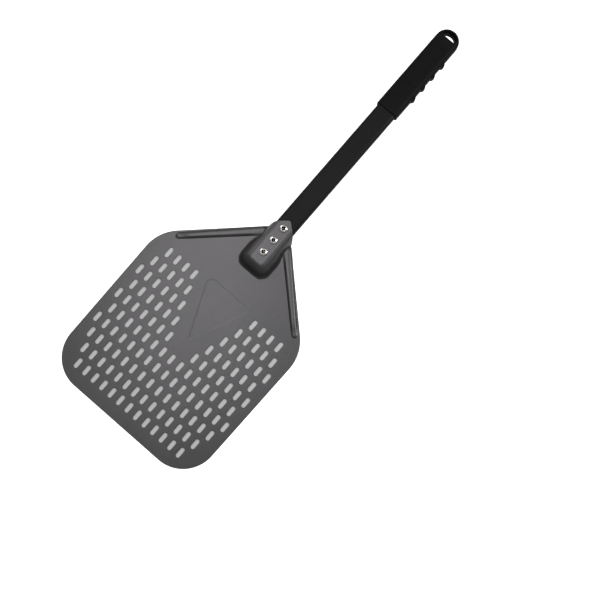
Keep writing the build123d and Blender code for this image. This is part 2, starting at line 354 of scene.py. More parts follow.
def make_piece(name, points, faces, material, node, wear_and_shade=None):
    """Puts a mesh in the scene in place of a CAD node. The last argument is a number per point that its
    finish reads: nearness to a cut edge for wear, and a painted shade in a screw's recess.
    """
    mesh = bpy.data.meshes.new(name)
    mesh.from_pydata(drawing_to_row(points), [], faces.tolist())
    if wear_and_shade is not None:
        mesh.attributes.new("wear_and_shade", "FLOAT", "POINT").data.foreach_set("value", wear_and_shade.astype(np.float32))
    work = bmesh.new()
    work.from_mesh(mesh)
    bmesh.ops.recalc_face_normals(work, faces=work.faces)
    open_edges = sum(not edge.is_manifold for edge in work.edges)
    volume = work.calc_volume(signed=True) / MM**3
    work.to_mesh(mesh)
    work.free()
    mesh.validate()
    places, triangles = read_mesh(mesh)
    mesh.shade_smooth()
    mesh.normals_split_custom_set_from_vertices(point_normals(places / MM, triangles))
    mesh.materials.append(material)
    piece = put(name, mesh)
    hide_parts(node)
    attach(piece, "root")
    print(f"{name}: {len(triangles)} triangles, {open_edges} open edges, {volume:.0f} mm3")


# %% [markdown]
# ## Finishes
#
# Three small effects are shared by the finishes, so each is a node group. Grain is the fine, even speckle
# that blasting, powder coating or a spark-eroded mould leaves. Handling is the broad, faint unevenness of
# use. Worn edges are where the coat is thin. On the screws the same mask is a painted shade in the cross
# recess. Each group only gives masks, values and heights. The shader stays in the material.


# %% Node helpers
def add_node(tree, kind, inputs=None, **settings):
    """A node with its settings, and each input set to a value or linked to another node's output."""
    node = tree.nodes.new(kind)
    for name, value in settings.items():
        setattr(node, name, value)
    for name, value in (inputs or {}).items():
        if isinstance(value, bpy.types.NodeSocket):
            tree.links.new(value, node.inputs[name])
        else:
            node.inputs[name].default_value = value
    return node


def new_group(name, inputs, outputs):
    """An empty shader node group with its named sockets, and its input and output nodes."""
    tree = bpy.data.node_groups.new(name, "ShaderNodeTree")
    for label, value in inputs.items():
        socket = tree.interface.new_socket(label, in_out="INPUT", socket_type="NodeSocketFloat")
        socket.default_value = value
    for label in outputs:
        tree.interface.new_socket(label, in_out="OUTPUT", socket_type="NodeSocketFloat")
    return tree, tree.nodes.new("NodeGroupInput"), tree.nodes.new("NodeGroupOutput")


def mapped(tree, value, *ranges):
    """A value moved from one range to another, and held at the ends: from low, from high, to low, to high."""
    inputs = dict(zip(("From Min", "From Max", "To Min", "To Max"), ranges))
    return add_node(tree, "ShaderNodeMapRange", {"Value": value, **inputs}).outputs["Result"]


def noise(tree, place, scale, detail, **settings):
    """Blender's noise texture as a value from 0 to 1."""
    inputs = {"Vector": place, "Scale": scale, "Detail": detail, **settings}
    return add_node(tree, "ShaderNodeTexNoise", inputs).outputs["Fac"]


def math_node(tree, operation, first, second):
    """Two values added, multiplied or the like."""
    return add_node(tree, "ShaderNodeMath", {0: first, 1: second}, operation=operation).outputs[0]


MIX_SOCKETS = {"FLOAT": (2, 3, 0), "RGBA": (6, 7, 2)}


def mixed(tree, factor, first, second, kind="FLOAT"):
    """A value or a colour between two others. Each kind has its own sockets on Blender's node."""
    a, b, result = MIX_SOCKETS[kind]
    return add_node(tree, "ShaderNodeMix", {0: factor, a: first, b: second}, data_type=kind).outputs[result]


# %% Fine grain
def build_grain():
    """Noise as a shade from 0 to 1, and noise with round cells added as a height."""
    tree, given, result = new_group("fine grain", {"Scale": 1500.0, "Detail": 2.0}, ["Shade", "Height"])
    place = add_node(tree, "ShaderNodeTexCoord").outputs["Object"]
    scale = given.outputs["Scale"]
    coarse = noise(tree, place, scale, given.outputs["Detail"], Roughness=0.6)
    speckle = add_node(tree, "ShaderNodeTexVoronoi", {"Vector": place, "Scale": scale}).outputs["Distance"]
    tree.links.new(mapped(tree, coarse, 0.3, 0.7, 0.0, 1.0), result.inputs["Shade"])
    tree.links.new(math_node(tree, "ADD", coarse, speckle), result.inputs["Height"])
    return tree


# %% Handling
def build_handling():
    """Slow noise for smudges, and thin stretched noise for wipe marks along the blade."""
    tree, given, result = new_group("handling", {"Scale": 14.0}, ["Smudge", "Wipe"])
    place = add_node(tree, "ShaderNodeTexCoord").outputs["Object"]
    stretched = add_node(tree, "ShaderNodeMapping", {"Vector": place, "Scale": (60.0, 2.5, 60.0)}).outputs[0]
    smudge = noise(tree, place, given.outputs["Scale"], 4.0)
    wipe = noise(tree, stretched, 9.0, 3.0)
    for label, value in (("Smudge", smudge), ("Wipe", wipe)):
        tree.links.new(mapped(tree, value, 0.35, 0.65, 0.0, 1.0), result.inputs[label])
    return tree


# %% Worn edges
def build_wear_and_shade():
    """The mesh's number per point, broken up by noise so that wear isn't an even line. Screws use it for a
    painted shade in their recess.
    """
    tree, given, result = new_group("worn edges", {"Scale": 220.0}, ["Mask"])
    place = add_node(tree, "ShaderNodeTexCoord").outputs["Object"]
    patches = mapped(tree, noise(tree, place, given.outputs["Scale"], 3.0), 0.35, 0.6, 0.0, 1.0)
    edge_wear_and_recess_shade = add_node(tree, "ShaderNodeAttribute", attribute_name="wear_and_shade").outputs["Fac"]
    tree.links.new(math_node(tree, "MULTIPLY", edge_wear_and_recess_shade, patches), result.inputs["Mask"])
    return tree


GRAIN, HANDLING, WEAR_AND_SHADE_GROUP = build_grain(), build_handling(), build_wear_and_shade()
print("shared effects:", [tree.name for tree in (GRAIN, HANDLING, WEAR_AND_SHADE_GROUP)])


# %% One finish from its values
def new_finish(name, dark, light, metallic, roughness, grain, bump, smudge, wear_and_shade_color=None, **shader_values):
    """A principled material. Grain mixes the two shades, wipe marks and grain move the roughness over its
    range, and the grain's height gives the bump.

    grain is (scale, detail), roughness (lowest, highest) and bump (strength, depth in metres). smudge is how
    far smudges change the shade.
    """
    material = bpy.data.materials.new(name)
    material.use_nodes = True
    tree = material.node_tree
    shader = tree.nodes["Principled BSDF"]
    shader.inputs["Metallic"].default_value = metallic
    for label, value in shader_values.items():
        shader.inputs[label.replace("_", " ")].default_value = value
    fine = add_node(tree, "ShaderNodeGroup", node_tree=GRAIN)
    fine.inputs["Scale"].default_value, fine.inputs["Detail"].default_value = grain
    touch = add_node(tree, "ShaderNodeGroup", node_tree=HANDLING)
    shade = mixed(tree, smudge, fine.outputs["Shade"], touch.outputs["Smudge"])
    color = mixed(tree, shade, (*dark, 1), (*light, 1), "RGBA")
    # The wear colour goes where the mesh's number says: on worn edges, and as a painted shade in a screw's
    # recess.
    if wear_and_shade_color:
        wear_and_shade_mask = add_node(tree, "ShaderNodeGroup", node_tree=WEAR_AND_SHADE_GROUP).outputs["Mask"]
        color = mixed(tree, wear_and_shade_mask, color, (*wear_and_shade_color, 1), "RGBA")
    tree.links.new(color, shader.inputs["Base Color"])
    patchy = mixed(tree, 0.5, fine.outputs["Shade"], touch.outputs["Wipe"])
    tree.links.new(mapped(tree, patchy, 0.0, 1.0, *roughness), shader.inputs["Roughness"])
    bump_inputs = {"Strength": bump[0], "Distance": bump[1], "Height": fine.outputs["Height"]}
    tree.links.new(add_node(tree, "ShaderNodeBump", bump_inputs).outputs["Normal"], shader.inputs["Normal"])
    return material


# %% The six finishes
anodised = new_finish(
    "anodised_aluminium", (0.0585, 0.057, 0.059), (0.0742, 0.0708, 0.0738),
    metallic=0.75, roughness=(0.37, 0.41), grain=(1400.0, 3.0), bump=(0.35, 0.00008), smudge=0.3,
    wear_and_shade_color=(0.16, 0.157, 0.16),
)
powder_coat = new_finish(
    "powder_coated_tube", (0.004, 0.004, 0.0042), (0.007, 0.007, 0.0072),
    metallic=0.0, roughness=(0.42, 0.52), grain=(900.0, 2.0), bump=(0.5, 0.00012), smudge=0.3,
    wear_and_shade_color=(0.06, 0.06, 0.06), Specular_IOR_Level=0.10,
)
moulded_grip = new_finish(
    "moulded_grip", (0.0025, 0.0025, 0.0028), (0.0045, 0.0045, 0.0052),
    metallic=0.0, roughness=(0.48, 0.60), grain=(1900.0, 3.0), bump=(0.5, 0.00010), smudge=0.3,
    Specular_IOR_Level=0.08,
)
moulded_plug = new_finish(
    "moulded_plug", (0.014, 0.014, 0.014), (0.022, 0.022, 0.022),
    metallic=0.0, roughness=(0.40, 0.55), grain=(1100.0, 2.0), bump=(0.4, 0.0001), smudge=0.4,
)
# The screws' dark colour is a painted shade in their cross recess.
polished_steel = new_finish(
    "polished_steel", (0.60, 0.59, 0.57), (0.76, 0.75, 0.73),
    metallic=1.0, roughness=(0.20, 0.28), grain=(2500.0, 2.0), bump=(0.10, 0.00003), smudge=0.5,
    wear_and_shade_color=(0.03, 0.029, 0.028),
)
zinc_plate = new_finish(
    "zinc_plated_steel", (0.42, 0.42, 0.40), (0.66, 0.65, 0.61),
    metallic=1.0, roughness=(0.28, 0.45), grain=(1300.0, 4.0), bump=(0.3, 0.00005), smudge=0.5,
)
finishes = (anodised, powder_coat, moulded_grip, moulded_plug, polished_steel, zinc_plate)
print("finishes:", [finish.name for finish in finishes])

# %% [markdown]
# ## The blade's plan
#
# Seen from above, the blade is a rounded square that narrows to a neck and ends in a short pointed tongue on
# top of the handle. The slots stand in ten rows, each shifted by half a pitch. The rows open out towards the
# handle and leave a plain V, which holds a pressed triangle.

# %% Blade plan dimensions, in millimetres
HALF_OUTLINE = [(123.5, 0.0), (127.45, 227.0), (20.4, 329.4), (17.0, 336.0), (12.6, 341.0), (0.0, 351.5)]
OUTLINE_RADII = [50.0, 58.0, 10.0, 4.0, 3.0, 3.0]
SLOT_LENGTH, SLOT_WIDTH, SLOT_PITCH, ROW_PITCH, FIRST_ROW = 15.0, 6.0, 15.0, 21.0, 25.5
ROWS, FIRST_OPEN_ROW = 10, 5


def mirrored(points):
    """A whole outline from its +X half, listed from the front to the back."""
    return points + [(-x, y) for x, y in reversed(points) if x]


def slot_centres():
    """Columns are half a pitch apart, and a row uses every second one between the V and the blade's edge."""
    places = []
    for row in range(ROWS):
        outer = min(15, 12 + row, 13 + 2 * (ROWS - 1 - row))
        inner = row - 2 if row >= FIRST_OPEN_ROW else 0
        places += [
            (column * SLOT_PITCH / 2, FIRST_ROW + row * ROW_PITCH)
            for column in range(-outer, outer + 1)
            if (column - row) % 2 == 0 and abs(column) >= inner
        ]
    return np.array(places)


def obround(centre, length, width):
    """Two half circles joined by straight sides along Y."""
    half = unit_arc(0, math.pi, 9) * width / 2 + [0, (length - width) / 2]
    return centre + np.concatenate([half, -half])


outline = rounded_path(mirrored(HALF_OUTLINE), OUTLINE_RADII + OUTLINE_RADII[-2::-1], 3.0, 0.06)
outline = outset(outline, -EDGE)
centres = slot_centres()
slot_loops = [obround(c, SLOT_LENGTH + 2 * EDGE, SLOT_WIDTH + 2 * EDGE) for c in centres]
print(len(centres), "slots; outline of", len(outline), "points, width", np.ptp(outline[:, 0]).round(1), "mm")

# %% [markdown]
# ## The blade's relief
#
# Two beads are pressed along the shoulders and stop the thin sheet from folding at the neck. A bead's height
# depends only on how far a point is from the bead's middle line. The pressed triangle works the same way with
# the distance to its border. The rise and fall is a smooth step, so no crease shows.

# %% Beads and pressed triangle
BEAD_HEIGHT, BEAD_FLANK, BEAD_OUTER_FLANK, BEAD_CROWN, BEAD_INSET = 2.5, 3.2, 2.6, 0.95, 7.3
BEAD_FADE_START, BEAD_FADE_END, BEAD_FADE_WIDTH, BEAD_RISE = 116.0, 134.0, 9.0, 16.0
BEAD_START, BEAD_END = 27.0, 141.0
BEAD_HALF_START, BEAD_HALF_END = 4.6, 6.2
SHOULDER = np.array([127.0, 227.0])
SHOULDER_ANGLE = math.radians(44.2)
PANEL_DEPTH, PANEL_FLANK = 0.2, 2.8
PANEL_CORNERS, PANEL_RADII = [(0, 141.7), (37.2, 227.0), (-37.2, 227.0)], [3.0, 8.0, 8.0]
panel_loop = rounded_path(PANEL_CORNERS, PANEL_RADII, 1.6, 0.15)


def bead_line(side):
    """Both ends of a bead's middle line, on the +X side for 1 and on the -X side for -1."""
    along = np.array([-math.cos(SHOULDER_ANGLE), math.sin(SHOULDER_ANGLE)])
    inward = np.array([-math.sin(SHOULDER_ANGLE), -math.cos(SHOULDER_ANGLE)])
    start = SHOULDER + inward * BEAD_INSET + along * BEAD_START
    return start * [side, 1], (start + along * (BEAD_END - BEAD_START)) * [side, 1]


def bead_relief(points):
    """Flanks, a smooth step of the distance inside the border, and a crown, 1 - (distance / half width)^2.

    The bead rises to its full height over its first stretch, and widens towards the neck. There its inner
    flank spreads out and runs into the pocket's foot.
    """
    relief = np.zeros(len(points))
    for side in (1, -1):
        start, end = bead_line(side)
        along = end - start
        length = np.linalg.norm(along)
        inner = np.array([-along[1], along[0]]) / length * side
        share = np.clip(((points - start) @ along) / length**2, 0, 1)
        offset = points - (start + share[:, None] * along)
        distance = np.linalg.norm(offset, axis=1)
        half_width = BEAD_HALF_START + (BEAD_HALF_END - BEAD_HALF_START) * share
        run = BEAD_START + share * length
        inwards = offset @ inner / np.maximum(distance, 1e-6)
        outer_part = 0.5 - 0.5 * np.clip(inwards, -1, 1)
        flank_width = BEAD_FLANK + (BEAD_OUTER_FLANK - BEAD_FLANK) * outer_part
        flank = ease((half_width - distance) / flank_width)
        wide = ease((half_width + BEAD_FADE_WIDTH - distance) / (BEAD_FADE_WIDTH + BEAD_FLANK))
        fade = ease((run - BEAD_FADE_START) / (BEAD_FADE_END - BEAD_FADE_START)) * (inwards > 0)
        flank = flank + fade * (wide - flank)
        crown = BEAD_CROWN * np.clip(1 - (distance / half_width) ** 2, 0, 1)
        rising = 0.5 + 0.5 * ease((run - BEAD_START) / BEAD_RISE)
        relief = np.maximum(relief, ((BEAD_HEIGHT - BEAD_CROWN) * flank + crown) * rising)
    return relief


def panel_relief(points):
    """A smooth step down of the signed distance to the triangle's border."""
    distance = loop_distance(points, panel_loop)
    signed = np.where(inside(points, panel_loop), distance, -distance)
    return -PANEL_DEPTH * ease(0.5 + signed / PANEL_FLANK)


def plate_height(points):
    """Middle surface of the plate: half a sheet above the ground, and the pressed relief."""
    height = SHEET / 2 + bead_relief(points)
    low, high = panel_loop.min(0) - PANEL_FLANK, panel_loop.max(0) + PANEL_FLANK
    near = np.all((points > low) & (points < high), axis=1)
    height[near] += panel_relief(points[near])
    return height


def bead_points(side):
    """Closely spaced points on loops round a bead's middle line, for the triangulation."""
    start, end = bead_line(side)
    length = np.linalg.norm(end - start)
    along = (end - start) / length
    across = np.array([-along[1], along[0]])
    run = np.linspace(0, length, 60)
    rings = []
    for radius in np.arange(0.5, BEAD_HALF_END + 0.6, 0.5):
        cap = unit_arc(math.pi / 2, 3 * math.pi / 2, max(5, int(radius * 3))) * radius
        rings += [cap, stacked(run, radius), stacked(run, -radius)]
    local = np.concatenate(rings)
    return start + local[:, :1] * along + local[:, 1:] * across


print("bead runs from", bead_line(1)[0].round(1), "to", bead_line(1)[1].round(1))

# %% [markdown]
# ## The pocket over the tube
#
# Where the handle starts, the sheet is drawn up into a pocket with a flat roof, two long walls and a blunt
# front. A net of key points holds it: one row for each level, from the plate up to the roof, and one column
# for each corner in plan. The surface is that net smoothed in both directions, a moving average of straight
# lines, so the folds come out round and no two walls need a fillet of their own.


# %% Smoothing a net of key points
SAMPLES = 25


def smooth_weights(keys, share, window):
    """How much each key point counts at each place along a path through them. keys are their places.

    A straight-line path gives each key point a hat-shaped weight. Averaging the hats over a window rounds the
    corners and leaves the straight runs where they are.
    """
    keys = np.asarray(keys, float)
    places = share[:, None] + np.linspace(-window / 2, window / 2, SAMPLES)[None]
    span = np.clip(np.searchsorted(keys, places, side="right") - 1, 0, len(keys) - 2)
    part = (places - keys[span]) / (keys[span + 1] - keys[span])
    weights = np.zeros((len(share), len(keys)))
    index = np.arange(len(share))[:, None] * np.ones_like(span)
    np.add.at(weights, (index, span), (1 - part) / SAMPLES)
    np.add.at(weights, (index, span + 1), part / SAMPLES)
    return weights


# %% Key points of the pocket
LEVELS, LEVEL_STEPS, LEVEL_WINDOW = [0, 1, 3, 4.2, 5.6], 56, 1.9
COLUMN_STEPS, COLUMN_WINDOW = [34, 12, 16, 10, 22, 10, 16, 12, 34], 0.6
ROOF_STACK = TUBE_HEIGHT / 2 + NUT_FLANGE + SHEET / 2
EAVE_DROP = 4.4
# Columns from the back of the +X wall to the middle of the front. Each has its five levels from the plate to
# the roof: beside the foot, foot, eave, roof edge, and inside the roof.
BACK_X = [19.75, 19.3, 16.5, 12.6, 7.6]
POCKET_KEYS = [
    [(21.4, 311), (19.4, 311), (16.5, 311), (12.6, 311), (7.6, 311)],
    [(26.0, 300), (23.5, 300), (18.2, 300), (12.6, 300), (7.6, 300)],
    [(26.0, 273.9), (23.5, 275.5), (18.3, 278.6), (12.6, 281.5), (7.6, 285.2)],
    [(17.2, 264.0), (16.1, 266.4), (12.8, 272.4), (9.5, 278.3), (5.4, 283.6)],
]


def roof_height(y):
    """Middle surface of the roof: it lies on the rivet nuts' flanges and climbs with the tube."""
    return TUBE_AXIS + ROOF_STACK / math.cos(HANDLE_ANGLE) + (y - TUBE_START) * math.tan(HANDLE_ANGLE)


def pocket_net():
    """Plan and height of all key points, from the back of the +X wall round the front to the other back."""
    neck = outline[(outline[:, 0] > 0) & (outline[:, 1] > 328)]
    neck = neck[np.argsort(neck[:, 0])]
    back = [(x, np.interp(x, neck[:, 0], neck[:, 1])) for x in BACK_X]
    half = np.array([back, *POCKET_KEYS], float)
    plan = np.concatenate([half, half[::-1] * [-1, 1]])
    roof = roof_height(plan[..., 1])
    height = np.full(roof.shape, SHEET / 2)
    height[:, 2] = roof[:, 2] - EAVE_DROP
    height[:, 3:] = roof[:, 3:]
    return np.concatenate([plan, height[..., None]], -1)


def pocket_patch():
    """The smoothed net as a grid, with the beads' relief added where it meets the plate."""
    net = pocket_net()
    share = np.concatenate([k + np.arange(n) / n for k, n in enumerate(COLUMN_STEPS)] + [[len(net) - 1.0]])
    level = np.linspace(0, LEVELS[-1], LEVEL_STEPS)
    by_column = smooth_weights(np.arange(len(net)), share, COLUMN_WINDOW)
    surface = np.einsum("sa,abk,lb->slk", by_column, net, smooth_weights(LEVELS, level, LEVEL_WINDOW))
    plan = surface[..., :2].reshape(-1, 2)
    fade = np.broadcast_to(1 - ease(level / 2.2), surface.shape[:2]).ravel()
    surface[..., 2] += (bead_relief(plan) * fade).reshape(surface.shape[:2])
    return surface


pocket = pocket_patch()
print("pocket grid:", pocket.shape[:2], "height", np.ptp(pocket[..., 2]).round(1), "mm")

# %% [markdown]
# ## The whole blade
#
# Plate, pocket and roof share their border points, so they join into one middle surface. The plate's free
# points are a wide, staggered grid, with close rings only where the sheet is bent.


# %% Free points of the plate
SPACING_X, SPACING_Y = 6.5, 5.6


def plate_points(border):
    """A staggered grid clear of slots, borders and relief, with closer points round beads and triangle."""
    x, y = np.meshgrid(np.arange(-130, 131, SPACING_X), np.arange(3, 340, SPACING_Y))
    x[1::2] += SPACING_X / 2
    coarse = stacked(x, y).reshape(-1, 2)
    clear = loop_distance(coarse, panel_loop) > 3
    for side in (1, -1):
        start, end = bead_line(side)
        clear &= distance_to(coarse, start[None], end[None]) > BEAD_HALF_END + 2
    rings = [outset(panel_loop, shift * PANEL_FLANK) for shift in np.linspace(-0.6, 0.6, 8)]
    free = np.concatenate([coarse[clear], bead_points(1), bead_points(-1), *rings])
    free = free[inside(free, border)]
    free = free[loop_distance(free, border) > 0.35]
    gap = np.abs(free[:, None] - centres)
    gap[..., 1] = np.maximum(gap[..., 1] - (SLOT_LENGTH - SLOT_WIDTH) / 2, 0)
    return free[np.hypot(gap[..., 0], gap[..., 1]).min(1) > SLOT_WIDTH / 2 + 1.2]


# %% Blade
SCREW_HOLE, NUT_HOLE = 2.75, 3.5


def plate_patch():
    """The plate with its slots and relief, between the outline and the pocket's foot."""
    foot = pocket[:, 0]
    below_neck = outline[outline[:, 1] < min(foot[0, 1], foot[-1, 1]) - 0.4]
    turn = np.argmax(np.linalg.norm(np.diff(below_neck, axis=0), axis=1)) + 1
    border = np.concatenate([foot[:, :2], np.roll(below_neck, -turn, axis=0)])
    plan, faces = triangulate(border, slot_loops, plate_points(border))
    return stacked(*plan.T, plate_height(plan)), faces


def roof_patch():
    """The pocket's roof and the tongue, with the three screw holes."""
    top = pocket[:, -1]
    tongue = outline[outline[:, 1] > max(top[0, 1], top[-1, 1]) + 0.3]
    border = np.concatenate([top[:, :2], tongue[np.argsort(tongue[:, 0])]])
    hole = (SCREW_HOLE + EDGE) * unit_arc(0, 2 * math.pi, 33)[:-1]
    holes = [hole + handle_to_drawing([0, along, ROOF_STACK])[:2] for along in SCREW_PLACES.values()]
    plan, faces = triangulate(border[::-1], holes)
    return stacked(*plan.T, roof_height(plan[:, 1])), faces


def blade_middle():
    """Plate, pocket walls and roof as one middle surface, with all faces upwards."""
    walls, faces = grid_patch(pocket)
    if face_normals(walls, faces)[:, 2].sum() < 0:
        faces = faces[:, ::-1]
    return join(plate_patch(), (walls, faces), roof_patch())


points, faces, wear_and_shade = sheet_metal(*blade_middle(), SHEET)
make_piece("peel_blade", points, faces, anodised, "blade", wear_and_shade)

# %% [markdown]
# ## The tube
#
# The handle is an aluminium tube with a flat-oval section. It is a sheet too, rolled up: one parameter runs
# round the section and the other along the tube. The three holes for the rivet nuts are cut in the unrolled
# sheet, where they are plain circles.


# %% Sections and the tube
def section(width, height, radius):
    """Closed rounded rectangle in X and Z, starting and ending at the middle of its lower side."""
    half_w, half_h = width / 2, height / 2
    corner = unit_arc(0, math.pi / 2, 9) * radius
    loops = [[(0, -half_h)]]
    for sx, sz, turn in ((1, -1, -math.pi / 2), (1, 1, 0), (-1, 1, math.pi / 2), (-1, -1, math.pi)):
        c, s = math.cos(turn), math.sin(turn)
        centre = np.array([sx * (half_w - radius), sz * (half_h - radius)])
        loops.append(centre + corner @ np.array([[c, s], [-s, c]]))
    loops.append([(0, -half_h)])
    return np.concatenate(loops)


def tube_middle():
    """The unrolled wall, triangulated with its three holes and rolled round the section."""
    ring = section(TUBE_WIDTH - TUBE_WALL, TUBE_HEIGHT - TUBE_WALL, TUBE_RADIUS - TUBE_WALL / 2)
    around = np.concatenate([[0], np.cumsum(np.linalg.norm(np.diff(ring, axis=0), axis=1))])
    rows = np.linspace(EDGE, TUBE_LENGTH - EDGE, 9)
    front, back = stacked(around, rows[0]), stacked(around[::-1], rows[-1])
    seam = stacked(around[-1], rows[1:-1])
    border = np.concatenate([front, seam, back, seam[::-1] * [0, 1]])
    hole = (NUT_HOLE + EDGE) * unit_arc(0, 2 * math.pi, 33)[:-1]
    holes = [hole + [around[-1] / 2, along] for along in SCREW_PLACES.values()]
    chains = [stacked(place, rows) for place in around[1:-1]]
    flat, faces = triangulate(border, holes, None, chains)
    x, z = (np.interp(flat[:, 0], around, part) for part in ring.T)
    return join((stacked(x, flat[:, 1], z), faces))


points, faces, wear_and_shade = sheet_metal(*tube_middle(), TUBE_WALL)
make_piece("oval_tube", handle_to_drawing(points), faces, powder_coat, "handle_tube", wear_and_shade)

# %% [markdown]
# ## Turned shapes and capped sections
#
# Screws, rivet nuts and the plug are closed bodies of rings. A ring is a loop of points at one place along
# the body. The screws and the plug are closed by a fan at each end. A rivet nut is open right through, so its
# last ring joins its first.


# %% Rings to a closed body
AROUND = 60
TURN = np.linspace(0, 2 * math.pi, AROUND, endpoint=False)


def turned(radius, height, along):
    """Rings of AROUND points about an upright line that crosses the handle at the given place."""
    return stacked(radius * np.cos(TURN), along + radius * np.sin(TURN), height)


def ringed_body(rings):
    """Rings of equal length joined in order, with a fan at each end."""
    rings = np.asarray(rings, float)
    count, size = rings.shape[:2]
    points = np.concatenate([rings.reshape(-1, 3), rings[0].mean(0)[None], rings[-1].mean(0)[None]])
    faces = grid_faces(count, size, wrap=True)
    ring = np.arange(size)
    last = ring + (count - 1) * size
    start_fan = stacked(np.roll(ring, -1), ring, count * size)
    end_fan = stacked(last, np.roll(last, -1), count * size + 1)
    return points, np.concatenate([faces, start_fan, end_fan])


# %% [markdown]
# ## Screws
#
# They are M5 pan-head machine screws with a cross recess. The rings under the head follow the thread, whose
# crest climbs one pitch in each turn. On top of the head the rings first follow the recess's outline, a plus
# sign in polar form, and then open out to the round head, so that the recess has clean walls. The points in
# the recess carry a number that the finish reads, for a painted shade that darkens the recess.

# %% Screw
HEAD_RADIUS, HEAD_HEIGHT, HEAD_EDGE = 5.2, 3.4, 0.45
HEAD_SEAT = TUBE_HEIGHT / 2 + NUT_FLANGE + SHEET
RECESS_HALF, RECESS_ARM, RECESS_DEPTH, RECESS_TURN, RECESS_SHADE = 3.1, 1.6, 2.6, 0.35, 4.0
THREAD_RADIUS, THREAD_PITCH, THREAD_DEPTH, SCREW_LENGTH = 2.5, 0.8, 0.42, 12.0


def plus_sign(angle, half, arm):
    """Radius of a plus sign's edge: half / cos(angle) at an arm's end, and arm / sin(angle) on its side."""
    folded = np.abs((angle + math.pi / 4) % (math.pi / 2) - math.pi / 4)
    return np.minimum(half / np.cos(folded), arm / np.maximum(np.sin(folded), 1e-6))


def dome(radius):
    """Flat in the middle, then a fall of 0.2 (r - 2.2)^1.55, and a quarter circle at the edge."""
    reach = np.clip(radius, 0, HEAD_RADIUS)
    fall = 0.2 * np.maximum(reach - 2.2, 0) ** 1.55
    beyond = np.maximum(reach - HEAD_RADIUS + HEAD_EDGE, 0)
    return HEAD_HEIGHT - fall - HEAD_EDGE + np.sqrt(HEAD_EDGE**2 - beyond**2)


def screw(along):
    """Rings from the middle of the recess, over the head, and down the thread to the tip."""
    cross = plus_sign(TURN + RECESS_TURN, RECESS_HALF, RECESS_ARM)

    def ring(radius, height):
        return turned(radius, HEAD_SEAT + height, along)

    floor = dome(0) - RECESS_DEPTH
    rings = [ring(cross * 0.45 * share, floor) for share in (0.3, 0.7, 1.0)]
    for share in (0.4, 0.8, 1.0):
        rings.append(ring(cross * (0.2 + 0.76 * share), floor + (RECESS_DEPTH - 0.25) * share))
    rings += [ring(cross + 0.03, dome(cross) - 0.09), ring(cross + 0.14, dome(cross + 0.14))]
    for share in np.linspace(0.12, 1, 16):
        radius = (cross + 0.14) * (1 - share) + HEAD_RADIUS * share * (1 if share == 1 else 0.999)
        rings.append(ring(radius, dome(radius)))
    for inset, high in ((0, 1.1), (0, 0.45), (0.04, 0.2), (0.2, 0.03), (0.4, 0.0)):
        rings.append(ring(HEAD_RADIUS - inset, high))
    rings += [ring(THREAD_RADIUS + 0.15, 0.0), ring(THREAD_RADIUS, -0.15)]
    for down in np.arange(0.3, SCREW_LENGTH - 0.2, THREAD_PITCH / 4):
        turn = down / THREAD_PITCH + TURN / (2 * math.pi)
        groove = np.abs((turn % 1) * 2 - 1)
        run_in = ease((down - 0.3) / 1.2) * ease((SCREW_LENGTH - 0.2 - down) / 0.8)
        rings.append(ring(THREAD_RADIUS - 0.02 - THREAD_DEPTH * run_in * ease(groove * 1.2 - 0.1), -down))
    rings += [ring(THREAD_RADIUS - 0.3, -SCREW_LENGTH + 0.1), ring(THREAD_RADIUS - 0.6, -SCREW_LENGTH)]
    return ringed_body(rings)


for place, along in SCREW_PLACES.items():
    points, faces = screw(along)
    height = points[:, 2] - HEAD_SEAT
    near_middle = np.hypot(points[:, 0], points[:, 1] - along) < RECESS_HALF + 0.1
    # Points in the cross recess are painted darker, as shade.
    painted_recess_shade = RECESS_SHADE * (near_middle & (height > 0.01) & (height < HEAD_HEIGHT - 0.3))
    points = handle_to_drawing(points)
    make_piece("pan_screw_" + place, points, faces, polished_steel, "screw_" + place, painted_recess_shade)

# %% [markdown]
# ## Rivet nuts
#
# A rivet nut is pulled into a plain hole, and its thin wall folds into a collar behind the tube. The body has
# a fine straight knurl, which is a cosine added to its radius.


# %% Rivet nut
# Radius and height of each ring: the flange, the wall in the tube's hole, the folded collar, and the body.
NUT_OUTSIDE = [
    (4.55, 0.8), (4.75, 0.72), (4.8, 0.5), (4.8, 0.2), (4.72, 0.04), (4.6, 0.0), (3.5, 0.0), (3.48, -0.3),
    (3.48, -1.35), (3.52, -1.5), (4.2, -1.55), (4.55, -1.8), (4.6, -2.3), (4.45, -3.0), (4.05, -3.8),
    (3.6, -4.4), (3.45, -5.0), (3.45, -8.0), (3.45, -11.8), (3.3, -12.3), (3.0, -12.5),
]
NUT_BORE = [(2.7, -12.45), (2.52, -12.2), (2.52, -8.0), (2.52, -3.0), (2.52, 0.4), (2.7, 0.72), (2.9, 0.8)]
KNURLED_RADIUS, KNURLS, KNURL_DEPTH = 3.45, 24, 0.1


def rivet_nut(along):
    """Rings down the outside, over the collar, and back up through the bore. The last joins the first."""
    radius, height = np.array(NUT_OUTSIDE + NUT_BORE).T[..., None]
    reach = radius + (radius == KNURLED_RADIUS) * KNURL_DEPTH * (np.cos(KNURLS * TURN) - 1)
    points = turned(reach, height + TUBE_HEIGHT / 2, along).reshape(-1, 3)
    return points, grid_faces(len(radius) + 1, AROUND, wrap=True) % len(points)


for place, along in SCREW_PLACES.items():
    points, faces = rivet_nut(along)
    points = handle_to_drawing(points)
    make_piece("pulled_nut_" + place, points, faces, zinc_plate, "rivet_nut_" + place)

# %% [markdown]
# ## Plug
#
# A moulded plug keeps flour and water out of the tube. Its lip covers the cut edge, and its hollow stem has
# small crush ribs that hold it in the tube.


